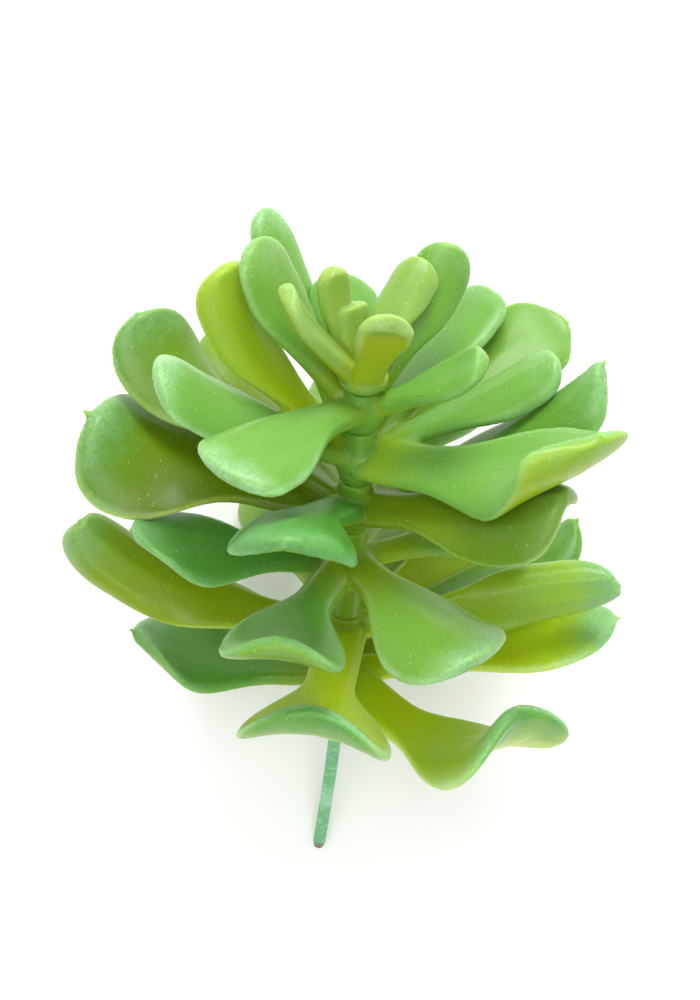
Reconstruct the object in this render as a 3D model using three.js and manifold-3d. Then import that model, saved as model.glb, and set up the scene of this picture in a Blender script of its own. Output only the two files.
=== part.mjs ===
// An artificial echeveria-like succulent stem: moulded tiers of leaves stacked on a thin pick.
// It lies on its back, crown raised, on the tip of its pick and on leaf tips. Millimetres, +Z up.
import * as THREE from 'three';
import { mergeVertices } from 'three/addons/utils/BufferGeometryUtils.js';
import Module from 'manifold-3d';

const wasm = await Module();
wasm.setup();

// Driving dimensions of the pick and the tubes. Heights run along the pick, from the middle of tier 3.
const PICK_RADIUS = 1.3;
const PICK_FACETS = 10;
const PICK_TOP = 29;
const PICK_TIP = -98;
const PICK_BEND_START = -52;
const PICK_BEND_SIDEWAYS = -2;
const GAP = 0.3;
const TUBE_RADIUS = 2.9;
const TUBE_FACETS = 12;
const WEB_RADIUS = 4.2;
const WEB_HALF_HEIGHT = 2.4;

// Driving dimensions shared by all the leaves
const LEAF_THICKNESS = 3.2;
const LEAST_THICKNESS = 0.8;
const ROOT_THICKENING = 0.1;
const TIP_THINNING = 0.14;
const THIN_EDGE_SHARE = 0.12;
const ROOT_START = 1.5;
const ROOT_CHANNEL = -15;
const POINT_WIDTH_SHARE = 0.1;
const POINT_LENGTH_SHARE = 0.05;
const STALK_SHARE = 0.16;
const WIDEST_AT = 0.72;
const WIDENING = 1.3;
const BLADE_ENDS_AT = 0.975;
const END_ROUNDNESS = 2.4;
const BEND_LATENESS = 1.5;
const BLADE_FROM = 0.3;
const BLADE_BY = 0.75;
const LAST_BEND_FROM = 0.75;
const MARGIN_BLUNTNESS = 3.4;
const FACE_BLUNTNESS = 2.4;
const LEAF_SIDES = 8;
const WALK_STEPS = 40;
const STATION_STEPS = [0, 5, 10, 15, 20, 24, 28, 32, 35, 38, 39];

// Where the search for the lying pose starts, in degrees, and its rounds
const FIRST_TILT = 48;
const SETTLING_ROUNDS = 8;

// Outlines: neck is the root's share of the widest place, end is where the rounded end begins
const BUD = { neck: 0.62, end: 0.8 };
const NARROW = { neck: 0.4, end: 0.8 };
const BROAD = { neck: 0.33, end: 0.74 };

const PLAIN_LEAF = {
  curl: 0, tip: 0, roll: 0, twist: 0, arch: 10, sway: 0, left: 0, right: 0, stalk: STALK_SHARE,
};

const CROWN_GREEN = 0x86bd4f;
const LEAF_GREEN = 0x6fae3c;
const PICK_GREEN = 0x6db478;

// Each tier is one moulding: a tube from bottom to top with leaves springing at height.
// A leaf's angles are in degrees: at is its direction round the pick, lift its slope at the root,
// curl and tip what the slope gains by the end and over the last quarter, sway its sideways bend,
// roll and twist its turn about its own length at the root and by the end, arch the droop of its sides.
// left and right are how high the wave of each margin stands, long and wide its size, in millimetres.
// stalk is the share of its length that stays narrow.
const TIERS = [
  {
    name: 'crown', height: 27, bottom: 24.6, top: 28.4, outline: BUD, color: CROWN_GREEN,
    leaves: [
      { at: 197, lift: 46, curl: 25, long: 22, wide: 9 },
      { at: 150, lift: 62, curl: 28, long: 19, wide: 6, roll: -20 },
      { at: -74, lift: 55, curl: 15, tip: 15, long: 20, wide: 9 },
      { at: 60, lift: 48, curl: -15, tip: -10, long: 21, wide: 9, arch: 60 },
      { at: 130, lift: 78, long: 12, wide: 7, arch: 60 },
    ],
  },
  {
    name: 'tier_1', height: 20.5, bottom: 16.5, top: 24.3, outline: NARROW, color: LEAF_GREEN,
    leaves: [
      { at: 232, lift: 14, curl: -15, long: 33, wide: 18, arch: 20, right: -1 },
      { at: -20, lift: 35, curl: 10, tip: 10, long: 24, wide: 10, roll: 15, twist: -15, sway: 20 },
      { at: 53, lift: 41, curl: 5, long: 31, wide: 11, roll: 20, twist: 30, arch: 45 },
      { at: 102, lift: 30, curl: -10, long: 25, wide: 13, twist: 15, arch: 20 },
      { at: 163, lift: 44, curl: 30, tip: -25, long: 33, wide: 13, roll: -20, twist: 25, sway: -10 },
    ],
  },
  {
    name: 'tier_2', height: 10.5, bottom: 5.2, top: 16.2, outline: NARROW, color: LEAF_GREEN,
    leaves: [
      {
        at: -29, lift: 11, curl: 43, tip: 50, long: 51, wide: 23, roll: 26, twist: -42, arch: -20, sway: -14,
        left: 1, right: -3,
      },
      { at: 12, lift: 25, curl: 10, long: 37, wide: 12.5, arch: 40, left: -1 },
      {
        at: 37, lift: 16, curl: 6, tip: -35, long: 44.5, wide: 17, roll: 2, twist: 15, left: -1.5, right: -1,
        stalk: 0.24,
      },
      { at: 54, lift: 27, curl: -5, long: 39, wide: 17, roll: -25, arch: 20, sway: 5 },
      { at: 125, lift: 43, curl: 5, tip: -20, long: 45, wide: 10.5, roll: 20, arch: 30 },
      { at: 168, lift: 38, curl: 45, tip: -10, long: 41, wide: 14, twist: -30, arch: 60 },
      { at: 196, lift: 25, curl: 25, tip: -25, long: 40, wide: 15, roll: -10, arch: 35 },
    ],
  },
  {
    name: 'tier_3', height: -1, bottom: -5.6, top: 4.9, outline: BROAD, color: LEAF_GREEN,
    leaves: [
      { at: -37, lift: 26, curl: 20, tip: -25, long: 47, wide: 21, roll: 30, twist: -15, arch: 95 },
      {
        at: 3, lift: 29, curl: 30, tip: -9, long: 50, wide: 19.5, roll: 3, twist: -27, arch: 69, right: 3.5,
        stalk: 0.23,
      },
      { at: 62, lift: 0, curl: 10, long: 48, wide: 16, arch: 45 },
      { at: 94, lift: -5, curl: 5, long: 47, wide: 18, arch: 50 },
      { at: 129, lift: 12, curl: 5, long: 46, wide: 17, roll: 25, arch: 45 },
      { at: 157, lift: 21, curl: 20, tip: 30, long: 51, wide: 20, roll: 25, twist: -50, arch: 35, right: -3 },
      {
        at: 173, lift: -1, curl: 44, tip: 21, long: 48, wide: 27.5, roll: -3, twist: -16, arch: 35, sway: 12,
        left: 3.5, right: -0.5, stalk: 0.3,
      },
      {
        at: -113, lift: 31, curl: 7, tip: -47, long: 42, wide: 23.5, roll: -4, twist: 12, arch: 55, sway: 18,
        stalk: 0.35,
      },
    ],
  },
  {
    name: 'tier_4', height: -14, bottom: -26.9, top: -5.9, outline: BROAD, color: LEAF_GREEN,
    leaves: [
      {
        at: -60, lift: 14, curl: 5, tip: -16, long: 40.5, wide: 22.5, roll: 12, twist: -16, arch: 39, sway: 10,
        left: -2.5,
      },
      { at: 22, lift: 2, long: 36, wide: 15, arch: 45 },
      { at: 76, lift: -12, curl: 5, long: 46, wide: 16, arch: 50 },
      { at: 110, lift: -12, curl: 5, long: 46, wide: 16, arch: 50 },
      {
        at: 202, lift: 15, curl: 17, tip: -27, long: 41, wide: 16.5, roll: -12, twist: 19, arch: 13, sway: -14,
        left: -2.5, right: 1, stalk: 0.24,
      },
      {
        at: -111, lift: 11, curl: 22, tip: 57, long: 45, wide: 21, roll: -21, twist: 32, arch: 23, sway: 18,
        left: 1, right: -1, stalk: 0.3,
      },
    ],
  },
  {
    name: 'tier_5', height: -31, bottom: -38.7, top: -27.2, outline: BROAD, color: LEAF_GREEN,
    leaves: [
      { at: 6, lift: 11, curl: -2, tip: 22, long: 52, wide: 16.5, roll: 54, twist: 33, arch: 105 },
      {
        at: 30, lift: -6, curl: 35, tip: 16, long: 52.5, wide: 18, roll: -17, twist: -10, arch: 40, right: 1,
        stalk: 0.23,
      },
      { at: 48, lift: 0, curl: 3, long: 50, wide: 16, roll: 25, twist: 10, arch: 55 },
      { at: 74, lift: -8, long: 54, wide: 17, arch: 50 },
      { at: 112, lift: -8, long: 54, wide: 18, arch: 50 },
      {
        at: 181, lift: 4, curl: 50, tip: 6, long: 55, wide: 19, roll: -30, twist: -7, arch: 110, sway: -5,
        left: 3, right: -2.5,
      },
      { at: -96, lift: 4, curl: 51, tip: 55, long: 46.5, wide: 27.5, arch: 32, stalk: 0.34 },
    ],
  },
  {
    name: 'tier_6', height: -43.5, bottom: -48.5, top: -39, outline: BROAD, color: LEAF_GREEN,
    leaves: [
      {
        at: 13, lift: 3, curl: 23, tip: -26, long: 54, wide: 17.5, roll: 6, twist: -6, arch: 5, sway: -4,
        left: 1, stalk: 0.2,
      },
      { at: 52, lift: -9, long: 38, wide: 17, arch: 50 },
      { at: 95, lift: -10, long: 35, wide: 17, arch: 50 },
      { at: 138, lift: -8, long: 42, wide: 16, arch: 50 },
      {
        at: 176, lift: -14, curl: 58, tip: -3, long: 41, wide: 22, roll: 6, twist: 11, arch: -14, sway: 7,
        left: -2, right: 2, stalk: 0.24,
      },
      {
        at: -48, lift: -3, curl: 88, tip: 8, long: 54, wide: 27, roll: 12, twist: -43, arch: 44, sway: 15,
        right: 2, stalk: 0.25,
      },
    ],
  },
];

const radians = THREE.MathUtils.degToRad;
const clamp = THREE.MathUtils.clamp;

function smooth(u) {
  const v = clamp(u, 0, 1);
  return v * v * (3 - 2 * v);
}

// Half width of a leaf at share s of its length: a neck, a blade, a rounded end and a small point
function halfWidth(leaf, outline, s) {
  const widening = smooth((s - leaf.stalk) / (WIDEST_AT - leaf.stalk)) ** WIDENING;
  const blade = outline.neck + (1 - outline.neck) * widening;
  const intoEnd = clamp((s - outline.end) / (BLADE_ENDS_AT - outline.end), 0, 1);
  const rounded = blade * Math.sqrt(Math.max(0, 1 - intoEnd ** END_ROUNDNESS));
  const point = s < outline.end ? 0 : POINT_WIDTH_SHARE * clamp((1 - s) / POINT_LENGTH_SHARE, 0, 1);
  return (leaf.wide / 2) * Math.max(rounded, point);
}

function slope(leaf, s) {
  const nearTip = clamp((s - LAST_BEND_FROM) / (1 - LAST_BEND_FROM), 0, 1);
  return radians(leaf.lift + leaf.curl * s ** BEND_LATENESS + leaf.tip * nearTip ** BEND_LATENESS);
}

function heading(leaf, s) {
  return radians(leaf.at + leaf.sway * s ** BEND_LATENESS);
}

function direction(leaf, s) {
  const level = Math.cos(slope(leaf, s));
  const around = heading(leaf, s);
  return new THREE.Vector3(Math.cos(around) * level, Math.sin(around) * level, Math.sin(slope(leaf, s)));
}

// The middle line of a leaf, walked from its root inside the tube to its tip in short steps
function middleLine(leaf, height) {
  const start = radians(leaf.at);
  const points = [new THREE.Vector3(Math.cos(start) * ROOT_START, Math.sin(start) * ROOT_START, height)];
  for (let step = 0; step < WALK_STEPS; step += 1) {
    const forward = direction(leaf, (step + 0.5) / WALK_STEPS).multiplyScalar(leaf.long / WALK_STEPS);
    points.push(points[step].clone().add(forward));
  }
  return points;
}

// Pushes a point of a circle out towards a box, more with more bluntness
function blunted(value, bluntness) {
  return Math.sign(value) * Math.abs(value) ** (2 / bluntness);
}

// One ring of points round a leaf: arched across, thicker in the middle, its margins waved
function leafRing(leaf, outline, centre, s) {
  const around = heading(leaf, s);
  const forward = direction(leaf, s);
  const level = new THREE.Vector3(-Math.sin(around), Math.cos(around), 0);
  const turn = radians(leaf.roll + leaf.twist * s ** BEND_LATENESS);
  const across = level.clone().applyAxisAngle(forward, turn);
  const outward = forward.clone().cross(level).applyAxisAngle(forward, turn);

  const half = halfWidth(leaf, outline, s);
  const intoBlade = smooth((s - BLADE_FROM) / (BLADE_BY - BLADE_FROM));
  const arch = radians(ROOT_CHANNEL + (leaf.arch - ROOT_CHANNEL) * intoBlade) || 1e-4;
  const alongWave = clamp((s - BLADE_FROM) / (1 - BLADE_FROM), 0, 1);
  const wave = Math.sin(1.5 * Math.PI * alongWave) * (half / (leaf.wide / 2));
  const slimming = Math.min(1, half / (THIN_EDGE_SHARE * leaf.wide));
  const tapering = 1 + ROOT_THICKENING - (ROOT_THICKENING + TIP_THINNING) * s;
  const wanted = LEAF_THICKNESS * slimming * tapering;
  const thickness = Math.max(Math.min(wanted, 1.9 * half), Math.min(LEAST_THICKNESS, 1.8 * half));

  const ring = [];
  for (let side = 0; side < LEAF_SIDES; side += 1) {
    const angle = (2 * Math.PI * side) / LEAF_SIDES;
    const sideways = blunted(Math.cos(angle), MARGIN_BLUNTNESS);
    const through = blunted(Math.sin(angle), FACE_BLUNTNESS);
    const bend = arch * sideways;
    const rise = wave * sideways ** 2 * (sideways > 0 ? leaf.left : leaf.right);
    const skin = (thickness / 2) * through;
    const x = (half * Math.sin(bend)) / arch + skin * Math.sin(bend);
    const y = (-half * (1 - Math.cos(bend))) / arch + rise + skin * Math.cos(bend);
    ring.push(centre.clone().addScaledVector(across, x).addScaledVector(outward, y));
  }
  return ring;
}

// A leaf as one closed mesh. Its two faces are split into triangles alike.
function leafGeometry(input, outline, height) {
  const leaf = { ...PLAIN_LEAF, ...input };
  const line = middleLine(leaf, height);
  const rings = STATION_STEPS.map((step) => leafRing(leaf, outline, line[step], step / WALK_STEPS));
  const points = [...rings.flat(), line[0], line[WALK_STEPS]];
  const rootCentre = rings.length * LEAF_SIDES;
  const tipPoint = rootCentre + 1;
  const faces = [];
  for (let side = 0; side < LEAF_SIDES; side += 1) {
    const next = (side + 1) % LEAF_SIDES;
    const topFace = side < LEAF_SIDES / 2;
    for (let ring = 0; ring < rings.length - 1; ring += 1) {
      const a = ring * LEAF_SIDES + side;
      const b = ring * LEAF_SIDES + next;
      const c = b + LEAF_SIDES;
      const d = a + LEAF_SIDES;
      faces.push(...(topFace ? [a, b, c, a, c, d] : [a, b, d, b, c, d]));
    }
    const last = (rings.length - 1) * LEAF_SIDES;
    faces.push(rootCentre, next, side, last + side, last + next, tipPoint);
  }
  const geometry = new THREE.BufferGeometry();
  geometry.setAttribute('position', new THREE.Float32BufferAttribute(points.flatMap((p) => p.toArray()), 3));
  geometry.setIndex(faces);
  return geometry;
}

// A round solid about the pick, from pairs of radius and height that start and end on the axis
function turnedGeometry(profile, facets) {
  const points = profile.map(([radius, height]) => new THREE.Vector2(radius, height));
  return new THREE.LatheGeometry(points, facets).rotateX(Math.PI / 2);
}

function toManifold(geometry) {
  const bare = geometry.clone();
  bare.deleteAttribute('normal');
  bare.deleteAttribute('uv');
  const merged = mergeVertices(bare, 1e-5);
  return new wasm.Manifold(new wasm.Mesh({
    numProp: 3,
    vertProperties: new Float32Array(merged.attributes.position.array),
    triVerts: new Uint32Array(merged.index.array),
  }));
}

function toGeometry(solid) {
  const mesh = solid.getMesh();
  const geometry = new THREE.BufferGeometry();
  geometry.setAttribute('position', new THREE.BufferAttribute(mesh.vertProperties, 3));
  geometry.setIndex(new THREE.BufferAttribute(mesh.triVerts, 1));
  return geometry;
}

// A tube that swells into a web where the leaves spring
function tubeSolid(tier) {
  const webBottom = Math.max(tier.bottom, tier.height - 2 * WEB_HALF_HEIGHT);
  const webTop = Math.min(tier.top, tier.height + WEB_HALF_HEIGHT);
  const profile = [
    [0, tier.bottom],
    [TUBE_RADIUS, tier.bottom],
    [TUBE_RADIUS + 0.1, webBottom + 0.1],
    [WEB_RADIUS, tier.height - WEB_HALF_HEIGHT / 2],
    [WEB_RADIUS, tier.height],
    [TUBE_RADIUS + 0.1, webTop - 0.1],
    [TUBE_RADIUS, tier.top],
    [0, tier.top],
  ];
  return toManifold(turnedGeometry(profile, TUBE_FACETS));
}

const bore = toManifold(turnedGeometry([
  [0, PICK_TIP],
  [PICK_RADIUS + GAP, PICK_TIP],
  [PICK_RADIUS + GAP, PICK_TOP + GAP],
  [0, PICK_TOP + GAP],
], PICK_FACETS));

function makeTier(tier) {
  let solid = tubeSolid(tier);
  for (const leaf of tier.leaves) {
    solid = solid.add(toManifold(leafGeometry(leaf, tier.outline, tier.height)));
  }
  const material = new THREE.MeshStandardMaterial({ color: tier.color, roughness: 0.5, metalness: 0 });
  const mesh = new THREE.Mesh(toGeometry(solid.subtract(bore)), material);
  mesh.name = tier.name;
  return mesh;
}

// The pick: straight inside the tubes, a little bent below them
function makePick() {
  const route = new THREE.CatmullRomCurve3([
    new THREE.Vector3(0, 0, PICK_TOP),
    new THREE.Vector3(0, 0, PICK_TOP / 2),
    new THREE.Vector3(0, 0, PICK_BEND_START / 2),
    new THREE.Vector3(0, 0, PICK_BEND_START),
    new THREE.Vector3(PICK_BEND_SIDEWAYS, 0, PICK_TIP),
  ]);
  const section = new THREE.Shape();
  for (let side = 0; side < PICK_FACETS; side += 1) {
    const angle = (2 * Math.PI * side) / PICK_FACETS;
    section[side ? 'lineTo' : 'moveTo'](PICK_RADIUS * Math.cos(angle), PICK_RADIUS * Math.sin(angle));
  }
  section.closePath();
  const geometry = new THREE.ExtrudeGeometry(section, { extrudePath: route, steps: 14, bevelEnabled: false });
  const material = new THREE.MeshStandardMaterial({ color: PICK_GREEN, roughness: 0.45, metalness: 0 });
  const mesh = new THREE.Mesh(geometry, material);
  mesh.name = 'pick_stem';
  return mesh;
}

// The lowest corner among some meshes once the plant is turned, given in the plant's own upright frame
function lowestPoint(meshes, turned, onThisSide) {
  const corner = new THREE.Vector3();
  const lowest = new THREE.Vector3();
  let least = Infinity;
  for (const mesh of meshes) {
    const corners = mesh.geometry.attributes.position;
    for (let index = 0; index < corners.count; index += 1) {
      corner.fromBufferAttribute(corners, index);
      const height = corner.clone().applyEuler(turned).z;
      if (onThisSide(corner) && height < least) {
        least = height;
        lowest.copy(corner);
      }
    }
  }
  return lowest;
}

// How the plant is turned to lie on three points: the tip of its pick and a leaf each side of its back
function lyingTurn(pick, tiers) {
  const turned = new THREE.Euler(-radians(FIRST_TILT), 0, 0, 'YXZ');
  for (let round = 0; round < SETTLING_ROUNDS; round += 1) {
    const tip = lowestPoint([pick], turned, () => true);
    const left = lowestPoint(tiers, turned, (corner) => corner.x < 0);
    const right = lowestPoint(tiers, turned, (corner) => corner.x > 0);
    const down = new THREE.Plane().setFromCoplanarPoints(tip, left, right).normal;
    turned.set(-Math.atan2(down.y, -down.z), Math.asin(down.x), 0);
  }
  return turned;
}

const pick = makePick();
const tiers = TIERS.map(makeTier);
const meshes = [pick, ...tiers];
const lying = new THREE.Matrix4().makeRotationFromEuler(lyingTurn(pick, tiers));
meshes.forEach((mesh) => mesh.geometry.applyMatrix4(lying));

// The origin is under the middle of its bounding box, on the floor
const plant = new THREE.Group();
plant.add(...meshes);
const bounds = new THREE.Box3().setFromObject(plant, true);
const middle = bounds.getCenter(new THREE.Vector3());
meshes.forEach((mesh) => mesh.geometry.translate(-middle.x, -middle.y, -bounds.min.z));

export default plant;
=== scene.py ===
"""An artificial echeveria-like succulent stem, lying on its back on a pale floor.

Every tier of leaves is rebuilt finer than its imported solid, from the same leaf shapes, then fused
and smoothed as one soft plastic moulding. Two details are only here and not in the solids: seven
leaves have their points drawn out, and the crown's front leaf turns its end outwards. The pick is
a round rod with a brown cut end.
"""

import math

import bpy
import numpy as np
from mathutils import Matrix, Vector, kdtree


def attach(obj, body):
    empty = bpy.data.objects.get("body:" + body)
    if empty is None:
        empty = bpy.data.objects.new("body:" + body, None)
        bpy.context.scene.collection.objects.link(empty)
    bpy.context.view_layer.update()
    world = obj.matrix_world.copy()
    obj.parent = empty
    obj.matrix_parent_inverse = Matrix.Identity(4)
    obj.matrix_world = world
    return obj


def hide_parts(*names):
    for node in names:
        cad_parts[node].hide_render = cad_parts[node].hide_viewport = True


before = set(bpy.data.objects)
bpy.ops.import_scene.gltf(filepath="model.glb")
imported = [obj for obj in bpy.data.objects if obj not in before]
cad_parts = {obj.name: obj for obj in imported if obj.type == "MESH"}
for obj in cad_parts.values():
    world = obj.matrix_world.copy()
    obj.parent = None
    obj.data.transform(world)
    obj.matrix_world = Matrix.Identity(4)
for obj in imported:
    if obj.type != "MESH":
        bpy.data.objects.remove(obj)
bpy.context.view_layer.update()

MM = 0.001

# The pick and the tubes, in millimetres, heights along the pick
PICK_RADIUS = 1.3
PICK_TOP = 29
PICK_TIP = -98
PICK_BEND_START = -52
PICK_BEND_SIDEWAYS = -2
PICK_BEND_LATENESS = 1.5
PICK_END_ROUNDING = 0.25
PICK_END_LENGTH = 0.8
PICK_RINGS = 90
PICK_SIDES = 32
TUBE_RADIUS = 2.9
TUBE_FLARE = 0.1
TUBE_SIDES = 48
WEB_RADIUS = 4.2
WEB_HALF_HEIGHT = 2.4

# How far below its top, along it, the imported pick's two uppermost rings of corners lie
TOP_RING_WITHIN = 2
NEXT_RING_BEYOND = 6
NEXT_RING_WITHIN = 11

# What all the leaves share
LEAF_THICKNESS = 3.2
LEAST_THICKNESS = 0.8
ROOT_THICKENING = 0.1
TIP_THINNING = 0.14
THIN_EDGE_SHARE = 0.12
ROOT_START = 1.5
ROOT_CHANNEL = -15
POINT_WIDTH_SHARE = 0.1
POINT_LENGTH_SHARE = 0.05
STALK_SHARE = 0.16
WIDEST_AT = 0.72
WIDENING = 1.3
BLADE_ENDS_AT = 0.975
END_ROUNDNESS = 2.4
BEND_LATENESS = 1.5
BLADE_FROM = 0.3
BLADE_BY = 0.75
LAST_BEND_FROM = 0.75
MARGIN_BLUNTNESS = 3.4
FACE_BLUNTNESS = 2.4

# How many half waves run along each margin of a blade
HALF_WAVES = 1.5

# The least arch, in radians, because a flat leaf has no radius to bend round
LEAST_ARCH = 1e-4

# Where a leaf gets narrow it gets thin too: the most half widths that its thickness and its least
# thickness may be
THICKNESS_TO_HALF_WIDTH = 1.9
LEAST_THICKNESS_TO_HALF_WIDTH = 1.8

# A point that is drawn out moves from this share of the length on, and widens with each millimetre
NIB_FROM = 0.93
NIB_WIDENING = 0.02

# How finely a leaf is built. Its stations crowd towards its point.
LEAF_SIDES = 32
STATIONS = 64
LAST_STATION = 0.998
STATION_CROWDING = 1.4
LINE_STEPS = 4 * STATIONS

# How finely a tier is fused, in millimetres. Each round of smoothing moves a point by these shares
# of the way to the mean of its neighbours: there, back and a little there again.
VOXEL = 0.42
CROWN_VOXEL = 0.24
SMOOTHING_ROUNDS = 4
SMOOTHING_SHARES = (0.5, -0.48, 0.15)

# How the fused skin takes its paint from the nearest points of the leaves, distances in metres
NEAREST_POINTS = 4
LEAST_DISTANCE = 1e-5
PAINT_SMOOTHING_ROUNDS = 3
PAINT_SMOOTHING_SHARE = 0.6

# Outlines: the root's share of the widest place, and where the rounded end begins
BUD = (0.62, 0.8)
NARROW = (0.4, 0.8)
BROAD = (0.33, 0.74)

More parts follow.
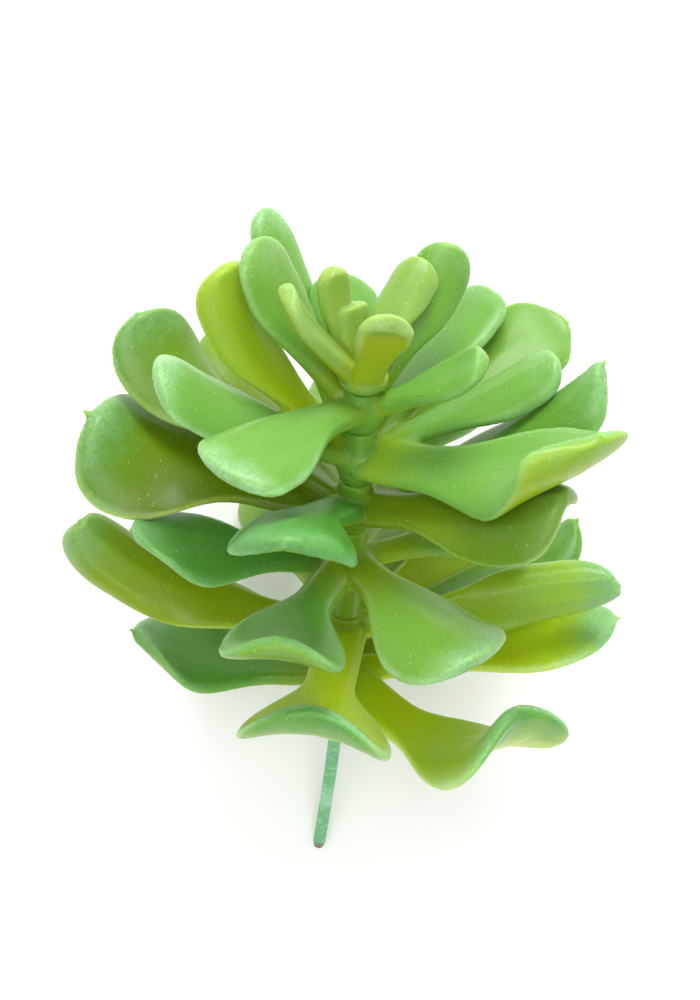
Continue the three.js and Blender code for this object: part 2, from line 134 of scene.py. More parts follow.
# Each tier: its height, its tube's bottom and top, the outline of its leaves, and the leaves.
# A leaf's last numbers are its paint: how much green is sprayed over its top, how much blue-green
# bloom and painted highlight lie at its end and margins, how dark that green is, and how far the
# yellow plastic under it goes from painted shade to painted light shining through.
# A nib is how far its point is drawn out, in millimetres in the upright plant's frame.
TIERS = {
    "crown": (27, 24.6, 28.4, BUD, [
        dict(at=197, lift=46, curl=25, long=22, wide=9, spray=0.7, dust_and_sheen=0.4),
        dict(at=150, lift=62, curl=28, long=19, wide=6, roll=-20, spray=0.5, dust_and_sheen=0.3, painted_light_share=0.7),
        dict(at=-72, lift=60, curl=12, tip=-65, twist=-15, long=21, wide=9, arch=40, spray=0.5,
             dust_and_sheen=0.6, painted_light_share=0.8),
        dict(at=60, lift=48, curl=-15, tip=-10, long=21, wide=9, arch=60, spray=0.7, dust_and_sheen=0.4),
        dict(at=130, lift=78, long=12, wide=7, arch=60, spray=0.5, dust_and_sheen=0.2),
    ]),
    "tier_1": (20.5, 16.5, 24.3, NARROW, [
        dict(at=232, lift=14, curl=-15, long=33, wide=18, arch=20, right=-1, spray=0.9, dust_and_sheen=1),
        dict(at=-20, lift=35, curl=10, tip=10, long=24, wide=10, roll=15, twist=-15, sway=20,
             spray=0.8, dust_and_sheen=0.3, deep=0.2),
        dict(at=53, lift=41, curl=5, long=31, wide=11, roll=20, twist=30, arch=45, spray=0.7,
             dust_and_sheen=0.5, deep=0.1),
        dict(at=102, lift=30, curl=-10, long=25, wide=13, twist=15, arch=20, spray=0.8, dust_and_sheen=0.5),
        dict(at=163, lift=44, curl=30, tip=-25, long=33, wide=13, roll=-20, twist=25, sway=-10,
             spray=0.7, dust_and_sheen=0.5),
    ]),
    "tier_2": (10.5, 5.2, 16.2, NARROW, [
        dict(at=-29, lift=11, curl=43, tip=50, long=51, wide=23, roll=26, twist=-42, arch=-20,
             sway=-14, left=1, right=-3, spray=0.85, dust_and_sheen=0.4, painted_light_share=0.7, nib=(1.5, 0, 0)),
        dict(at=12, lift=25, curl=10, long=37, wide=12.5, arch=40, left=-1, spray=0.8, dust_and_sheen=0.6,
             deep=0.1),
        dict(at=37, lift=16, curl=6, tip=-35, long=44.5, wide=17, roll=2, twist=15, left=-1.5,
             right=-1, stalk=0.24, spray=0.65, dust_and_sheen=0.3, deep=0.2, nib=(2, 0, 1.8)),
        dict(at=54, lift=27, curl=-5, long=39, wide=17, roll=-25, arch=20, sway=5, spray=0.8,
             dust_and_sheen=0.5, deep=0.2),
        dict(at=125, lift=43, curl=5, tip=-20, long=45, wide=10.5, roll=20, arch=30, spray=0.8,
             dust_and_sheen=0.9),
        dict(at=168, lift=38, curl=45, tip=-10, long=41, wide=14, twist=-30, arch=60, spray=0.2,
             dust_and_sheen=0.1, painted_light_share=0.85),
        dict(at=196, lift=25, curl=25, tip=-25, long=40, wide=15, roll=-10, arch=35, spray=0.9,
             dust_and_sheen=1),
    ]),
    "tier_3": (-1, -5.6, 4.9, BROAD, [
        dict(at=-37, lift=26, curl=20, tip=-25, long=47, wide=21, roll=30, twist=-15, arch=95,
             spray=0.25, dust_and_sheen=0.2, deep=0.6, painted_light_share=0.25),
        dict(at=3, lift=29, curl=30, tip=-9, long=50, wide=19.5, roll=3, twist=-27, arch=69,
             right=3.5, stalk=0.23, spray=0.7, dust_and_sheen=0.6, deep=0.6, painted_light_share=0.4, nib=(0.3, 0, 2)),
        dict(at=62, lift=0, curl=10, long=48, wide=16, arch=45, spray=0.6, dust_and_sheen=0.4, deep=0.5),
        dict(at=94, lift=-5, curl=5, long=47, wide=18, arch=50, spray=0.6, dust_and_sheen=0.4, deep=0.5),
        dict(at=129, lift=12, curl=5, long=46, wide=17, roll=25, arch=45, spray=0.2, dust_and_sheen=0.2,
             deep=0.3, painted_light_share=0.4),
        dict(at=157, lift=21, curl=20, tip=30, long=51, wide=20, roll=25, twist=-50, arch=35,
             right=-3, spray=0.2, dust_and_sheen=0.5, deep=0.6, painted_light_share=0.15),
        dict(at=173, lift=-1, curl=44, tip=21, long=48, wide=27.5, roll=-3, twist=-16, arch=35,
             sway=12, left=3.5, right=-0.5, stalk=0.3, spray=0, dust_and_sheen=0.5, deep=0.9, painted_light_share=0.1,
             nib=(-3.2, 0, 0.6)),
        dict(at=-113, lift=31, curl=7, tip=-47, long=42, wide=23.5, roll=-4, twist=12, arch=55,
             sway=18, stalk=0.35, spray=1, dust_and_sheen=0.45, deep=1, painted_light_share=0.4),
    ]),
    "tier_4": (-14, -26.9, -5.9, BROAD, [
        dict(at=-60, lift=14, curl=5, tip=-16, long=40.5, wide=22.5, roll=12, twist=-16, arch=39,
             sway=10, left=-2.5, spray=0.6, dust_and_sheen=0.8, deep=0.1, painted_light_share=0.4),
        dict(at=22, lift=2, long=36, wide=15, arch=45, spray=0.6, dust_and_sheen=0.4, deep=0.5),
        dict(at=76, lift=-12, curl=5, long=46, wide=16, arch=50, spray=0.6, dust_and_sheen=0.4, deep=0.5),
        dict(at=110, lift=-12, curl=5, long=46, wide=16, arch=50, spray=0.6, dust_and_sheen=0.4, deep=0.5),
        dict(at=202, lift=15, curl=17, tip=-27, long=41, wide=16.5, roll=-12, twist=19, arch=13,
             sway=-14, left=-2.5, right=1, stalk=0.24, spray=0.8, dust_and_sheen=0.6, deep=0.9, painted_light_share=0.2),
        dict(at=-111, lift=11, curl=22, tip=57, long=45, wide=21, roll=-21, twist=32, arch=23,
             sway=18, left=1, right=-1, stalk=0.3, spray=0.7, dust_and_sheen=0.5, deep=0.9),
    ]),
    "tier_5": (-31, -38.7, -27.2, BROAD, [
        dict(at=6, lift=11, curl=-2, tip=22, long=52, wide=16.5, roll=54, twist=33, arch=105,
             spray=0.4, dust_and_sheen=0.9, deep=0.6, painted_light_share=0.95),
        dict(at=30, lift=-6, curl=35, tip=16, long=52.5, wide=18, roll=-17, twist=-10, arch=40,
             right=1, stalk=0.23, spray=0.6, dust_and_sheen=0.2, deep=0.9, painted_light_share=0.3, nib=(0.3, 0, 1.8)),
        dict(at=48, lift=0, curl=3, long=50, wide=16, roll=25, twist=10, arch=55, spray=0.15,
             dust_and_sheen=0.2, painted_light_share=0.9),
        dict(at=74, lift=-8, long=54, wide=17, arch=50, spray=0.5, dust_and_sheen=0.4, deep=0.5),
        dict(at=112, lift=-8, long=54, wide=18, arch=50, spray=0.5, dust_and_sheen=0.4, deep=0.5),
        dict(at=181, lift=4, curl=50, tip=6, long=55, wide=19, roll=-30, twist=-7, arch=110,
             sway=-5, left=3, right=-2.5, spray=0.05, dust_and_sheen=0.5, deep=0.4, painted_light_share=0.45),
        dict(at=-96, lift=4, curl=51, tip=55, long=46.5, wide=27.5, arch=32, stalk=0.34,
             spray=0.1, dust_and_sheen=0.85, deep=0.8, painted_light_share=0.85),
    ]),
    "tier_6": (-43.5, -48.5, -39, BROAD, [
        dict(at=13, lift=3, curl=23, tip=-26, long=54, wide=17.5, roll=6, twist=-6, arch=5,
             sway=-4, left=1, stalk=0.2, spray=0.05, dust_and_sheen=0.8, deep=0.6, painted_light_share=1,
             nib=(1.5, 0, 0.8)),
        dict(at=52, lift=-9, long=38, wide=17, arch=50, spray=0.5, dust_and_sheen=0.4, deep=0.5),
        dict(at=95, lift=-10, long=35, wide=17, arch=50, spray=0.5, dust_and_sheen=0.4, deep=0.5),
        dict(at=138, lift=-8, long=42, wide=16, arch=50, spray=0.5, dust_and_sheen=0.4, deep=0.5),
        dict(at=176, lift=-14, curl=58, tip=-3, long=41, wide=22, roll=6, twist=11, arch=-14,
             sway=7, left=-2, right=2, stalk=0.24, spray=0.7, dust_and_sheen=0.6, deep=1, painted_light_share=0.4,
             nib=(-1.5, 0, 0.8)),
        dict(at=-48, lift=-3, curl=88, tip=8, long=54, wide=27, roll=12, twist=-43, arch=44,
             sway=15, right=2, stalk=0.25, spray=0.25, dust_and_sheen=0.85, deep=0.7, painted_light_share=1),
    ]),
}
# Plain leaves have their yellow-green halfway between painted shade and painted light
PLAIN_LEAF = dict(
    curl=0, tip=0, roll=0, twist=0, arch=10, sway=0, left=0, right=0, stalk=STALK_SHARE,
    spray=0.5, dust_and_sheen=0.4, deep=0, painted_light_share=0.5, nib=(0, 0, 0)
)

# How green each tier's tube is, and the rest of the tubes' paint
TUBE_SPRAY = dict(crown=0.6, tier_1=0.9, tier_2=0.7, tier_3=0.5, tier_4=0.4, tier_5=0.1, tier_6=0)
# The tubes' yellow-green is in painted light and shade, with no bloom or painted highlight
TUBE_PAINT = dict(dust_and_sheen=0, deep=0.5, painted_light_share=0.4)

# What the surface knows about each of its points: its place on its leaf, as shares of the length,
# the half width and the way up through the thickness, and its leaf's paint
PAINT_NAMES = ("spray", "dust_and_sheen", "deep", "painted_light_share")
PLACE_NAMES = ("along", "margin", "upper", *PAINT_NAMES)
HALFWAY_UP = 0.5

# The camera in the upright plant's own frame, where x is right and y points away from it, in
# millimetres. What it sees from and to is in metres.
CAMERA_ELEVATION = math.radians(40)
CAMERA_ROLL = math.radians(4.2)
CAMERA_DISTANCE = 265
CAMERA_SIDEWAYS = 0.7
PICTURE_LONG_SIDE = 1000
PIXELS_PER_MM = 5.7
SENSOR = 36
CAMERA_SEES_FROM = 0.01
CAMERA_SEES_TO = 20

# Colours of the moulded plastic. Its yellow-green comes twice, with painted light shining through
# and with painted shade. Sprayed and deep_green are the paint on its top, and the last is the
# blue-green bloom with painted highlight on its ends and margins.
LEAF_COLOURS = dict(
    painted_light_yellow=(0.42, 0.57, 0.01),
    painted_shade_olive=(0.094, 0.176, 0.002),
    sprayed=(0.165, 0.38, 0.065),
    deep_green=(0.074, 0.29, 0.036),
    dust_and_sheen=(0.42, 0.68, 0.44),
)
CROWN_COLOURS = dict(
    painted_light_yellow=(0.4, 0.5, 0.02),
    painted_shade_olive=(0.14, 0.2, 0.006),
    sprayed=(0.24, 0.42, 0.1),
    deep_green=(0.08, 0.28, 0.05),
    dust_and_sheen=(0.42, 0.62, 0.32),
)
RIM_COLOUR = (0.55, 0.66, 0.16)
PORE_COLOUR = (0.06, 0.14, 0.008)
SPARKLE_COLOUR = (0.66, 0.76, 0.3)
DIRT_COLOUR = (0.02, 0.05, 0.01)

# Noises: how many cells in a metre, detail and roughness
MOTTLE = (160, 4, 0.6)
GRAIN = (1400, 2, 0.6)
PORES = (2600, 1, 0.5)
STREAKS = (700, 3, 0.6)
PATCHES = (6, 2, 0.5)

# Dots: spacing and radius in millimetres, and the share of places that has one
SPARKLES = (1.2, 0.12, 0.4)
DIRT = (4.5, 0.17, 0.5)
DOT_SOFTNESS = 0.3

# From where to where a look comes in, along a leaf, out to its margin, up through its thickness, or
# in a noise
SPRAY_ALONG = (0, 0.4)
SPRAY_UPWARDS = (0.08, 0.45)
SPRAY_TO_END = (0.7, 0.98)
SPRAY_TO_TUBE = (0.12, 0)
RIM_OUTWARDS = (0.86, 0.99)
RIM_ALONG = (0.2, 0.6)
# Where the blue-green bloom and its painted highlight lie
DUST_AND_SHEEN_OUTWARDS = (0.8, 1.05)
DUST_AND_SHEEN_ALONG = (0.35, 0.8)
DUST_AND_SHEEN_TO_END = (0.78, 1.05)
DUST_AND_SHEEN_UPWARDS = (0.25, 0.65)
DUST_AND_SHEEN_IN_GRAIN = (0.25, 0.65)
PORES_IN_NOISE = (0.45, 0.7)

# How strong each look is, and where the spray starts for none of it and how much earlier for all
UNEVENNESS = 0.3
SPRAY_START = 0.5
SPRAY_STARTS_EARLIER = 0.7
SPRAY_STRENGTH = 1.2
RIM_SHARE = 0.45
# How strong the blue-green bloom and its painted highlight are
DUST_AND_SHEEN_SHARE = 0.8
END_DUST_AND_SHEEN_SHARE = 0.85
DUST_AND_SHEEN_BELOW = 0.25
DUST_AND_SHEEN_OFF_GRAIN = 0.5
PORE_SHARE = 0.14
DOT_SHARE = 0.6

# The plastic's finish: bumps have a strength and a height in metres
LEAF_ROUGHNESS = (0.24, 0.42)
LEAF_BUMP = (0.35, 0.0003)
GRAIN_IN_BUMP = 0.25
LEAF_SHADER = {
    "Subsurface Weight": 1,
    "Subsurface Radius": (1.0, 0.95, 0.12),
    "Subsurface Scale": 0.0025,
    "IOR": 1.46,
    "Specular IOR Level": 0.32,
}

# The pick's coating. Its places are shares of its length from its cut end up.
PICK_COLOUR = (0.12, 0.42, 0.17)
PICK_WORN_COLOUR = (0.3, 0.6, 0.33)
PICK_BAND_COLOUR = (0.42, 0.68, 0.45)
PICK_CUT_COLOUR = (0.16, 0.07, 0.025)
PICK_WORN_IN_STREAKS = (0.45, 0.75)
PICK_BAND_STARTS = (0.1, 0.125)
PICK_BAND_ENDS = (0.17, 0.14)
PICK_BAND_SHARE = 0.5
PICK_CUT_ENDS = (0.026, 0.01)
PICK_CUT_RAGGEDNESS = 0.012
PICK_BUMP = (0.3, 0.0002)
PICK_ROUGHNESS = 0.42

# The studio, in metres and watts. The floor runs far past the picture.
FLOOR_REACH = 3
FLOOR_COLOUR = (0.95, 0.955, 0.95)
FLOOR_PATCH_SHADE = 0.99
FLOOR_ROUGHNESS = 0.9
LIGHTS = {
    "soft_top": dict(place=(0.05, 1.0, 0.7), size=0.65, watts=13),
    "soft_overhead": dict(place=(-0.15, 0.15, 1.3), size=0.9, watts=8),
    "soft_fill": dict(place=(0.1, -0.9, 0.8), size=0.9, watts=4),
}
LIGHTS_AIM_AT = (0, 0, 0.05)
WORLD_STRENGTH = 0.52


def smooth(u):
    """A soft step from 0 to 1."""
    v = np.clip(u, 0, 1)
    return v * v * (3 - 2 * v)


def unit(vectors):
    return vectors / np.linalg.norm(vectors, axis=-1, keepdims=True)


def half_width(leaf, outline, s):
    """A neck, a blade, a rounded end and a small point."""
    neck, end = outline
    widening = smooth((s - leaf["stalk"]) / (WIDEST_AT - leaf["stalk"])) ** WIDENING
    blade = neck + (1 - neck) * widening
    into_end = np.clip((s - end) / (BLADE_ENDS_AT - end), 0, 1)
    rounded = blade * np.sqrt(np.maximum(0, 1 - into_end ** END_ROUNDNESS))
    point_width = POINT_WIDTH_SHARE + NIB_WIDENING * np.linalg.norm(leaf["nib"])
    point = np.where(s < end, 0, point_width * np.clip((1 - s) / POINT_LENGTH_SHARE, 0, 1))
    return leaf["wide"] / 2 * np.maximum(rounded, point)


def directions(leaf, s):
    """Headings round the pick and unit vectors along the leaf."""
    bent = s ** BEND_LATENESS
    bent_last = np.clip((s - LAST_BEND_FROM) / (1 - LAST_BEND_FROM), 0, 1) ** BEND_LATENESS
    slope = np.radians(leaf["lift"] + leaf["curl"] * bent + leaf["tip"] * bent_last)
    around = np.radians(leaf["at"] + leaf["sway"] * bent)
    level = np.cos(slope)
    return around, np.stack([np.cos(around) * level, np.sin(around) * level, np.sin(slope)], 1)


def turned_about(vectors, axes, angles):
    """Vectors turned about axes at right angles to them."""
    cosine = np.cos(angles)[:, None]
    sine = np.sin(angles)[:, None]
    return vectors * cosine + np.cross(axes, vectors) * sine


def blunted(values, bluntness):
    """Pushes points of a circle out towards a box, more with more bluntness."""
    return np.sign(values) * np.abs(values) ** (2 / bluntness)


def leaf_line(leaf, height, s):
    """A leaf's middle line at each station, drawn out at its point, and its two end points."""
    steps = np.linspace(0, 1, LINE_STEPS + 1)
    middles = (steps[:-1] + steps[1:]) / 2
    strides = directions(leaf, middles)[1] * leaf["long"] / len(middles)
    start = math.radians(leaf["at"])
    root = np.array([math.cos(start) * ROOT_START, math.sin(start) * ROOT_START, height])
    line = root + np.vstack([np.zeros(3), np.cumsum(strides, 0)])
    centres = np.stack([np.interp(s, steps, line[:, axis]) for axis in range(3)], 1)
    drawn_out = np.clip((s - NIB_FROM) / (1 - NIB_FROM), 0, 1) ** 2
    centres += drawn_out[:, None] * np.array(leaf["nib"])
    return centres, (line[0], line[-1] + leaf["nib"])


def thickness_along(leaf, half, s):
    """Thinner towards the point and where the leaf is narrow."""
    slimming = np.minimum(1, half / (THIN_EDGE_SHARE * leaf["wide"]))
    tapering = 1 + ROOT_THICKENING - (ROOT_THICKENING + TIP_THINNING) * s
    wanted = LEAF_THICKNESS * slimming * tapering
    most = np.minimum(wanted, THICKNESS_TO_HALF_WIDTH * half)
    least = np.minimum(LEAST_THICKNESS, LEAST_THICKNESS_TO_HALF_WIDTH * half)
    return np.maximum(most, least)


def cross_sections(leaf, half, s, sideways, through):
    """Each station's ring of points, as distances across and outward, arched and waved."""
    into_blade = smooth((s - BLADE_FROM) / (BLADE_BY - BLADE_FROM))
    arch = np.radians(ROOT_CHANNEL + (leaf["arch"] - ROOT_CHANNEL) * into_blade)
    arch = np.where(np.abs(arch) < LEAST_ARCH, LEAST_ARCH, arch)[:, None]
    along_wave = np.clip((s - BLADE_FROM) / (1 - BLADE_FROM), 0, 1)
    wave = np.sin(HALF_WAVES * np.pi * along_wave) * half / (leaf["wide"] / 2)
    rise = wave[:, None] * sideways ** 2 * np.where(sideways > 0, leaf["left"], leaf["right"])
    skin = thickness_along(leaf, half, s)[:, None] / 2 * through
    bend = arch * sideways
    x = half[:, None] * np.sin(bend) / arch + skin * np.sin(bend)
    y = -half[:, None] * (1 - np.cos(bend)) / arch + rise + skin * np.cos(bend)
    return x, y


def leaf_points(leaf, outline, height):
    """Rings of points along a leaf, its two end points, and the place and paint of each."""
    s = 1 - (1 - np.linspace(0, LAST_STATION, STATIONS)) ** STATION_CROWDING
    centres, line_ends = leaf_line(leaf, height, s)
    around, forward = directions(leaf, s)
    level = np.stack([-np.sin(around), np.cos(around), 0 * around], 1)
    turn = np.radians(leaf["roll"] + leaf["twist"] * s ** BEND_LATENESS)
    across = turned_about(level, forward, turn)
    outward = turned_about(np.cross(forward, level), forward, turn)

    angles = 2 * np.pi * np.arange(LEAF_SIDES) / LEAF_SIDES
    sideways = blunted(np.cos(angles), MARGIN_BLUNTNESS)
    through = blunted(np.sin(angles), FACE_BLUNTNESS)
    x, y = cross_sections(leaf, half_width(leaf, outline, s), s, sideways, through)
    rings = centres[:, None] + across[:, None] * x[..., None] + outward[:, None] * y[..., None]

    paint = [leaf[name] for name in PAINT_NAMES]
    places = np.zeros((STATIONS, LEAF_SIDES, len(PLACE_NAMES)))
    places[..., 0] = s[:, None]
    places[..., 1] = np.abs(sideways)
    places[..., 2] = HALFWAY_UP + HALFWAY_UP * through
    places[..., 3:] = paint
    end_places = [[0, 0, HALFWAY_UP, *paint], [1, 0, HALFWAY_UP, *paint]]
    all_places = np.vstack([places.reshape(-1, len(PLACE_NAMES)), end_places])
    return np.vstack([rings.reshape(-1, 3), *line_ends]), all_places


def ring_faces(rings, sides):
    """Faces between rings of points, closed by a point at each end."""
    faces = []
    last = (rings - 1) * sides
    for side in range(sides):
        after = (side + 1) % sides
        for ring in range(rings - 1):
            here = ring * sides
            faces.append((here + side, here + after, here + sides + after, here + sides + side))
        faces.append((rings * sides, after, side))
        faces.append((last + side, last + after, rings * sides + 1))
    return faces


def turned_points(profile, sides):
    """A round solid about the pick from pairs of radius and height between its two end points."""
    angles = 2 * np.pi * np.arange(sides) / sides
    rings = [
        np.stack([radius * np.cos(angles), radius * np.sin(angles), 0 * angles + height], 1)
        for radius, height in profile
    ]
    ends = [[0, 0, profile[0][1]], [0, 0, profile[-1][1]]]
    return np.vstack([*rings, ends])


def lying_frame():
    """How the plant lies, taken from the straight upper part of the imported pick."""
    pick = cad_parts["pick_stem"]
    corners = np.array([v.co for v in pick.data.vertices]) / MM
    rough = unit(np.linalg.svd(corners - corners.mean(0))[2][0])
    rough = rough if rough[1] > 0 else -rough
    along = corners @ rough
    below_top = along.max() - along
    top = corners[below_top < TOP_RING_WITHIN]
    next_ring = corners[(below_top > NEXT_RING_BEYOND) & (below_top < NEXT_RING_WITHIN)]
    top_centre = (top.min(0) + top.max(0)) / 2
    next_centre = (next_ring.min(0) + next_ring.max(0)) / 2
    axis = unit(top_centre - next_centre)
    tilt = math.asin(axis[1])
    roll = math.atan2(axis[0], axis[2])
    turn = np.array(Matrix.Rotation(roll, 3, "Y") @ Matrix.Rotation(-tilt, 3, "X"))
    return turn, top_centre - turn @ np.array([0, 0, PICK_TOP])


TURN, PLACE = lying_frame()


def laid(points):
    """From the upright plant's millimetres to metres where it lies."""
    return (np.asarray(points) @ TURN.T + PLACE) * MM


def new_object(name, points, faces):
    mesh = bpy.data.meshes.new(name)
    mesh.from_pydata([tuple(point) for point in points], [], faces)
    mesh.validate()
    piece = bpy.data.objects.new(name, mesh)
    bpy.context.scene.collection.objects.link(piece)
    return piece


def make_active(piece):
    bpy.ops.object.select_all(action="DESELECT")
    piece.select_set(True)
    bpy.context.view_layer.objects.active = piece


def apply_modifier(piece, kind, **settings):
    modifier = piece.modifiers.new(kind.lower(), kind)
    for name, value in settings.items():
        setattr(modifier, name, value)
    make_active(piece)
    bpy.ops.object.modifier_apply(modifier=modifier.name)


def mesh_arrays(mesh):
    """A mesh's points and the pairs of points that its edges join."""
    points = np.zeros(len(mesh.vertices) * 3)
    mesh.vertices.foreach_get("co", points)
    edges = np.zeros(len(mesh.edges) * 2, int)
    mesh.edges.foreach_get("vertices", edges)
    return points.reshape(-1, 3), edges.reshape(-1, 2)


def neighbour_mean(values, edges):
    """Each vertex's mean over its neighbours."""
    first, second = edges.T
    size = len(values)
    total = np.zeros_like(values)
    for column, numbers in enumerate(values.T):
        from_second = np.bincount(first, numbers[second], size)
        from_first = np.bincount(second, numbers[first], size)
        total[:, column] = from_second + from_first
    count = np.bincount(edges.ravel(), minlength=size)
    return total / np.maximum(count, 1)[:, None]


def relaxed(points, edges):
    """Smooths out the voxel steps and rounds the webs, and shrinks thin parts very little."""
    for _ in range(SMOOTHING_ROUNDS):
        for share in SMOOTHING_SHARES:
            points = points + share * (neighbour_mean(points, edges) - points)
    return points


def looked_up(points, sources, places):
    """The place on a leaf of each point, from the nearest few source points."""
    tree = kdtree.KDTree(len(sources))
    for index, source in enumerate(sources):
        tree.insert(source, index)
    tree.balance()
    found = np.zeros((len(points), places.shape[1]))
    for row, point in enumerate(points):
        near = tree.find_n(point, NEAREST_POINTS)
        weights = np.array([1 / (distance + LEAST_DISTANCE) for _, _, distance in near])
        rows = places[[index for _, index, _ in near]]
        found[row] = weights @ rows / weights.sum()
    return found


def store(mesh, name, values):
    """Gives each point of a mesh a number that its material can read."""
    attribute = mesh.attributes.new(name, "FLOAT", "POINT")
    attribute.data.foreach_set("value", values.astype(np.float32))


def tube_profile(height, bottom, top):
    """Radii and heights up a tier's tube, with the web where its leaves run into each other."""
    web_bottom = max(bottom, height - 2 * WEB_HALF_HEIGHT)
    web_top = min(top, height + WEB_HALF_HEIGHT)
    return [
        (TUBE_RADIUS, bottom),
        (TUBE_RADIUS + TUBE_FLARE, web_bottom + TUBE_FLARE),
        (WEB_RADIUS, height - WEB_HALF_HEIGHT / 2),
        (WEB_RADIUS, height),
        (TUBE_RADIUS + TUBE_FLARE, web_top - TUBE_FLARE),
        (TUBE_RADIUS, top),
    ]


def tier_parts(name):
    """The points, places and faces of each leaf of a tier, and of its tube."""
    height, bottom, top, outline, leaves = TIERS[name]
    parts = []
    for entry in leaves:
        points, places = leaf_points({**PLAIN_LEAF, **entry}, outline, height)
        parts.append((points, places, ring_faces(STATIONS, LEAF_SIDES)))

    profile = tube_profile(height, bottom, top)
    points = turned_points(profile, TUBE_SIDES)
    paint = {**TUBE_PAINT, "spray": TUBE_SPRAY[name]}
    place = [0, 0, HALFWAY_UP, *(paint[paint_name] for paint_name in PAINT_NAMES)]
    parts.append((points, np.tile(place, (len(points), 1)), ring_faces(len(profile), TUBE_SIDES)))
    return parts


def make_tier(name):
    """One moulding: its leaves, its web and its tube, fused and smoothed."""
    parts = tier_parts(name)
    all_faces = []
    count = 0
    for points, _, faces in parts:
        all_faces += [tuple(corner + count for corner in face) for face in faces]
        count += len(points)

    sources = laid(np.vstack([points for points, _, _ in parts]))
    piece = new_object(name + "_moulding", sources, all_faces)
    voxel = CROWN_VOXEL if name == "crown" else VOXEL
    apply_modifier(piece, "REMESH", mode="VOXEL", voxel_size=voxel * MM)
    points, edges = mesh_arrays(piece.data)
    points = relaxed(points, edges)
    piece.data.vertices.foreach_set("co", points.ravel())

    places = looked_up(points, sources, np.vstack([places for _, places, _ in parts]))
    for _ in range(PAINT_SMOOTHING_ROUNDS):
        kept_share = (1 - PAINT_SMOOTHING_SHARE) * places
        places = kept_share + PAINT_SMOOTHING_SHARE * neighbour_mean(places, edges)
    for column, place_name in enumerate(PLACE_NAMES):
        store(piece.data, place_name, places[:, column])
    piece.data.shade_smooth()
    piece.data.update()
    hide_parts(name)
    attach(piece, "root")
    return piece


def make_pick():
    """A round rod, a little bent below the tiers, with a cut end."""
    angles = 2 * np.pi * np.arange(PICK_SIDES) / PICK_SIDES
    rings = []
    for height in np.linspace(PICK_TOP, PICK_TIP, PICK_RINGS):
        below = max(0, (PICK_BEND_START - height) / (PICK_BEND_START - PICK_TIP))
        middle = PICK_BEND_SIDEWAYS * below ** PICK_BEND_LATENESS
        end_rounding = PICK_END_ROUNDING * max(0, 1 - (height - PICK_TIP) / PICK_END_LENGTH)
        radius = PICK_RADIUS - end_rounding
        rings.append(np.stack([
            middle + radius * np.cos(angles), radius * np.sin(angles), 0 * angles + height
        ], 1))
    ends = [[0, 0, PICK_TOP], [PICK_BEND_SIDEWAYS, 0, PICK_TIP]]
    points = np.vstack([*rings, ends])
    faces = [tuple(reversed(face)) for face in ring_faces(PICK_RINGS, PICK_SIDES)]
    piece = new_object("pick_rod", laid(points), faces)
    store(piece.data, "along", (points[:, 2] - PICK_TIP) / (PICK_TOP - PICK_TIP))
    piece.data.shade_smooth()
    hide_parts("pick_stem")
    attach(piece, "root")
    return piece


class Nodes:
    """Short ways to add shader nodes to a material."""

    def __init__(self, name):
        self.material = bpy.data.materials.new(name)
        self.material.use_nodes = True
        self.tree = self.material.node_tree
        self.shader = self.tree.nodes["Principled BSDF"]

    def add(self, kind, **settings):
        node = self.tree.nodes.new(kind)
        for name, value in settings.items():
            setattr(node, name, value)
        return node

    def link(self, source, target):
        self.tree.links.new(source, target)

    def attribute(self, name):
        return self.add("ShaderNodeAttribute", attribute_name=name).outputs["Fac"]

    def noise(self, scale, detail, roughness):
        coordinates = self.add("ShaderNodeTexCoord")
        noise = self.add("ShaderNodeTexNoise")
        noise.inputs["Scale"].default_value = scale
        noise.inputs["Detail"].default_value = detail
        noise.inputs["Roughness"].default_value = roughness
        self.link(coordinates.outputs["Object"], noise.inputs["Vector"])
        return noise.outputs["Fac"]

    def math(self, operation, *values):
        node = self.add("ShaderNodeMath", operation=operation)
        for socket, value in zip(node.inputs, values):
            if isinstance(value, (int, float)):
                socket.default_value = value
            else:
                self.link(value, socket)
        return node.outputs[0]

    def times(self, first, second):
        return self.math("MULTIPLY", first, second)

    def at_least(self, least, share):
        """A share from 0 to 1, lifted so that it runs from least to 1."""
        return self.math("MULTIPLY_ADD", share, 1 - least, least)

    def ramp(self, value, low, high):
        """Rises softly from 0 to 1 as a value goes from low to high, or falls if low is higher."""
        node = self.add("ShaderNodeMapRange", interpolation_type="SMOOTHSTEP")
        node.inputs["From Min"].default_value = low
        node.inputs["From Max"].default_value = high
        self.link(value, node.inputs["Value"])
        return node.outputs["Result"]

    def mix(self, share, first, second):
        node = self.add("ShaderNodeMix", data_type="RGBA")
        self.link(share, node.inputs["Factor"])
        for socket, value in ((node.inputs["A"], first), (node.inputs["B"], second)):
            if isinstance(value, tuple):
                socket.default_value = (*value, 1)
            else:
                self.link(value, socket)
        return node.outputs["Result"]

    def bump(self, height, strength, distance):
        node = self.add("ShaderNodeBump")
        node.inputs["Strength"].default_value = strength
        node.inputs["Distance"].default_value = distance
        self.link(height, node.inputs["Height"])
        self.link(node.outputs["Normal"], self.shader.inputs["Normal"])


def dots(nodes, spacing, radius, chosen):
    """Round dots of a radius in millimetres, in a chosen share of cells of a spacing."""
    coordinates = nodes.add("ShaderNodeTexCoord")
    cells = nodes.add("ShaderNodeTexVoronoi")
    cells.inputs["Scale"].default_value = 1 / (spacing * MM)
    nodes.link(coordinates.outputs["Object"], cells.inputs["Vector"])
    edge = radius / spacing
    outer, inner = edge * (1 + DOT_SOFTNESS), edge * (1 - DOT_SOFTNESS)
    dot = nodes.ramp(cells.outputs["Distance"], outer, inner)
    channels = nodes.add("ShaderNodeSeparateColor")
    nodes.link(cells.outputs["Color"], channels.inputs["Color"])
    picked = nodes.math("LESS_THAN", channels.outputs["Red"], chosen)
    return nodes.times(dot, picked)


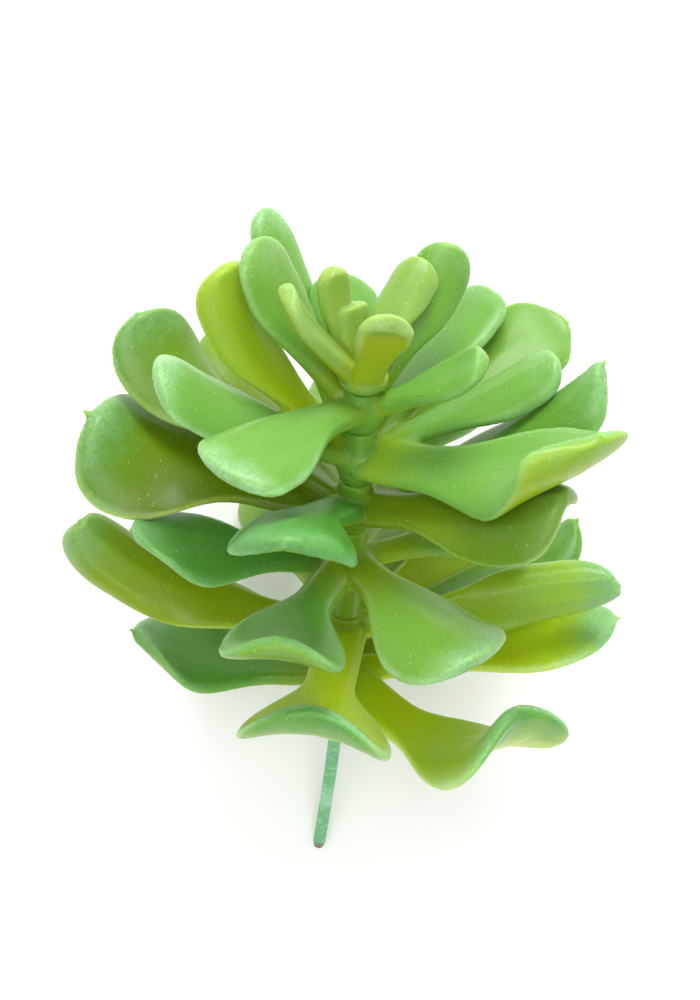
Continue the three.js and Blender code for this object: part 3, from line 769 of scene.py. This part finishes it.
def sprayed_share(nodes, places, reach):
    """How much green is sprayed on: over the top of the blade, its end and the tube beside it."""
    spray = places["spray"]
    starts = nodes.math("MULTIPLY_ADD", spray, -SPRAY_STARTS_EARLIER, SPRAY_START)
    on_blade = nodes.ramp(nodes.math("SUBTRACT", reach, starts), *SPRAY_ALONG)
    on_top = nodes.times(on_blade, nodes.ramp(places["upper"], *SPRAY_UPWARDS))
    strength = nodes.math("MINIMUM", nodes.times(spray, SPRAY_STRENGTH), 1)
    end_strength = nodes.times(places["dust_and_sheen"], SPRAY_STRENGTH)
    on_end = nodes.times(nodes.ramp(reach, *SPRAY_TO_END), end_strength)
    on_tube = nodes.times(nodes.ramp(places["along"], *SPRAY_TO_TUBE), spray)
    share = nodes.math("MAXIMUM", nodes.times(on_top, strength), on_end)
    return nodes.math("MINIMUM", nodes.math("MAXIMUM", share, on_tube), 1)


def plastic_in_painted_light_and_shade(nodes, places, colours):
    """Yellow-green plastic in painted light and shade, with a pale rim at the blade's margins."""
    # Painted light and shade: each leaf's number moves the yellow-green from shaded to lit through
    base = nodes.mix(places["painted_light_share"], colours["painted_shade_olive"], colours["painted_light_yellow"])
    outwards = nodes.ramp(places["margin"], *RIM_OUTWARDS)
    rim = nodes.times(outwards, nodes.ramp(places["along"], *RIM_ALONG))
    return nodes.mix(nodes.times(rim, RIM_SHARE), base, RIM_COLOUR)


def dust_and_sheen_share(nodes, places, reach, uneven, grain):
    """How much bloom and painted highlight lie on margins and end, most on the side facing up."""
    near_margin = nodes.ramp(nodes.math("ADD", places["margin"], uneven), *DUST_AND_SHEEN_OUTWARDS)
    near_margin = nodes.times(near_margin, nodes.ramp(reach, *DUST_AND_SHEEN_ALONG))
    near_end = nodes.times(nodes.ramp(reach, *DUST_AND_SHEEN_TO_END), END_DUST_AND_SHEEN_SHARE)
    share = nodes.math("MAXIMUM", near_margin, near_end)
    # Mostly on the top face, as a painted highlight along the upper rims
    facing_up = nodes.ramp(places["upper"], *DUST_AND_SHEEN_UPWARDS)
    share = nodes.times(share, nodes.at_least(DUST_AND_SHEEN_BELOW, facing_up))
    on_grain = nodes.ramp(grain, *DUST_AND_SHEEN_IN_GRAIN)
    share = nodes.times(share, nodes.at_least(DUST_AND_SHEEN_OFF_GRAIN, on_grain))
    return nodes.times(share, nodes.times(places["dust_and_sheen"], DUST_AND_SHEEN_SHARE))


def leaf_material(name, colours):
    """Translucent yellow-green plastic in painted light and shade, sprayed green on top,
    and blue-green bloom and painted highlight at its ends.
    """
    nodes = Nodes(name)
    places = {place: nodes.attribute(place) for place in PLACE_NAMES}
    mottle = nodes.noise(*MOTTLE)
    grain = nodes.noise(*GRAIN)
    uneven = nodes.times(nodes.math("SUBTRACT", mottle, 0.5), UNEVENNESS)
    reach = nodes.math("ADD", places["along"], uneven)

    green = nodes.mix(places["deep"], colours["sprayed"], colours["deep_green"])
    # The plastic's yellow-green in painted light and shade, then the green spray over it
    colour = plastic_in_painted_light_and_shade(nodes, places, colours)
    colour = nodes.mix(sprayed_share(nodes, places, reach), colour, green)
    # Blue-green bloom with painted highlight on the ends and margins
    dusted_and_sheened = dust_and_sheen_share(nodes, places, reach, uneven, grain)
    colour = nodes.mix(dusted_and_sheened, colour, colours["dust_and_sheen"])
    pores = nodes.times(nodes.ramp(nodes.noise(*PORES), *PORES_IN_NOISE), PORE_SHARE)
    colour = nodes.mix(pores, colour, PORE_COLOUR)
    for kind, dot_colour in ((SPARKLES, SPARKLE_COLOUR), (DIRT, DIRT_COLOUR)):
        dotted = nodes.times(dots(nodes, *kind), DOT_SHARE)
        colour = nodes.mix(dotted, colour, dot_colour)
    nodes.link(colour, nodes.shader.inputs["Base Color"])

    roughness = nodes.add("ShaderNodeMapRange")
    least, most = LEAF_ROUGHNESS
    roughness.inputs["To Min"].default_value = least
    roughness.inputs["To Max"].default_value = most
    nodes.link(mottle, roughness.inputs["Value"])
    nodes.link(roughness.outputs["Result"], nodes.shader.inputs["Roughness"])
    nodes.bump(nodes.math("ADD", mottle, nodes.times(grain, GRAIN_IN_BUMP)), *LEAF_BUMP)
    for setting, value in LEAF_SHADER.items():
        nodes.shader.inputs[setting].default_value = value
    return nodes.material


def pick_material():
    """Green coated rod, worn lighter in one band, brown at its cut end."""
    nodes = Nodes("pick_coating")
    along = nodes.attribute("along")
    streaks = nodes.noise(*STREAKS)
    worn = nodes.ramp(streaks, *PICK_WORN_IN_STREAKS)
    colour = nodes.mix(worn, PICK_COLOUR, PICK_WORN_COLOUR)
    band = nodes.times(nodes.ramp(along, *PICK_BAND_STARTS), nodes.ramp(along, *PICK_BAND_ENDS))
    colour = nodes.mix(nodes.times(band, PICK_BAND_SHARE), colour, PICK_BAND_COLOUR)
    ragged = nodes.math("ADD", along, nodes.times(streaks, PICK_CUT_RAGGEDNESS))
    colour = nodes.mix(nodes.ramp(ragged, *PICK_CUT_ENDS), colour, PICK_CUT_COLOUR)
    nodes.link(colour, nodes.shader.inputs["Base Color"])
    nodes.bump(streaks, *PICK_BUMP)
    nodes.shader.inputs["Roughness"].default_value = PICK_ROUGHNESS
    return nodes.material


def floor_material():
    """Pale and matt, a trace darker in wide patches."""
    nodes = Nodes("pale_floor")
    patch_colour = tuple(FLOOR_PATCH_SHADE * channel for channel in FLOOR_COLOUR)
    tint = nodes.mix(nodes.noise(*PATCHES), FLOOR_COLOUR, patch_colour)
    nodes.link(tint, nodes.shader.inputs["Base Color"])
    nodes.shader.inputs["Roughness"].default_value = FLOOR_ROUGHNESS
    return nodes.material


def make_floor():
    reach = FLOOR_REACH
    corners = [(-reach, -reach, 0), (reach, -reach, 0), (reach, reach, 0), (-reach, reach, 0)]
    floor = new_object("floor", corners, [(0, 1, 2, 3)])
    floor.data.materials.append(floor_material())


def make_light(name, place, size, watts):
    """A soft round lamp that looks at the plant."""
    light = bpy.data.lights.new(name, "AREA")
    light.shape = "DISK"
    light.size = size
    light.energy = watts
    lamp = bpy.data.objects.new(name, light)
    lamp.location = place
    lamp.rotation_mode = "QUATERNION"
    aim = Vector(LIGHTS_AIM_AT) - Vector(place)
    lamp.rotation_quaternion = aim.to_track_quat("-Z", "Y")
    bpy.context.scene.collection.objects.link(lamp)


def make_camera():
    """The photo's view of the upright plant, turned with the plant as it lies."""
    sine, cosine = math.sin(CAMERA_ELEVATION), math.cos(CAMERA_ELEVATION)
    roll_sine, roll_cosine = math.sin(CAMERA_ROLL), math.cos(CAMERA_ROLL)
    ahead = np.array([0, cosine, -sine])
    right = np.array([roll_cosine, roll_sine * sine, roll_sine * cosine])
    up = np.array([-roll_sine, roll_cosine * sine, roll_cosine * cosine])
    place = -CAMERA_DISTANCE * ahead - CAMERA_SIDEWAYS * right
    camera = bpy.data.objects.new("camera", bpy.data.cameras.new("camera"))
    axes = np.stack([TURN @ right, TURN @ up, -(TURN @ ahead)], 1)
    camera.matrix_world = Matrix.Translation(laid(place)) @ Matrix(axes.tolist()).to_4x4()
    camera.data.sensor_width = SENSOR
    camera.data.lens = PIXELS_PER_MM * CAMERA_DISTANCE * SENSOR / PICTURE_LONG_SIDE
    camera.data.clip_start = CAMERA_SEES_FROM
    camera.data.clip_end = CAMERA_SEES_TO
    bpy.context.scene.collection.objects.link(camera)
    bpy.context.scene.camera = camera


def make_world():
    """Even white light from all round, and plain colours in the picture."""
    world = bpy.data.worlds.new("studio")
    world.use_nodes = True
    background = world.node_tree.nodes["Background"].inputs
    background["Color"].default_value = (1, 1, 1, 1)
    background["Strength"].default_value = WORLD_STRENGTH
    bpy.context.scene.world = world
    bpy.context.scene.view_settings.view_transform = "Standard"


leaf_plastic = leaf_material("leaf_plastic", LEAF_COLOURS)
crown_plastic = leaf_material("crown_plastic", CROWN_COLOURS)
for tier_name in TIERS:
    moulding = make_tier(tier_name)
    moulding.data.materials.append(crown_plastic if tier_name == "crown" else leaf_plastic)
rod = make_pick()
rod.data.materials.append(pick_material())

make_floor()
for light_name, light_settings in LIGHTS.items():
    make_light(light_name, **light_settings)
make_world()
make_camera()

bpy.context.view_layer.update()
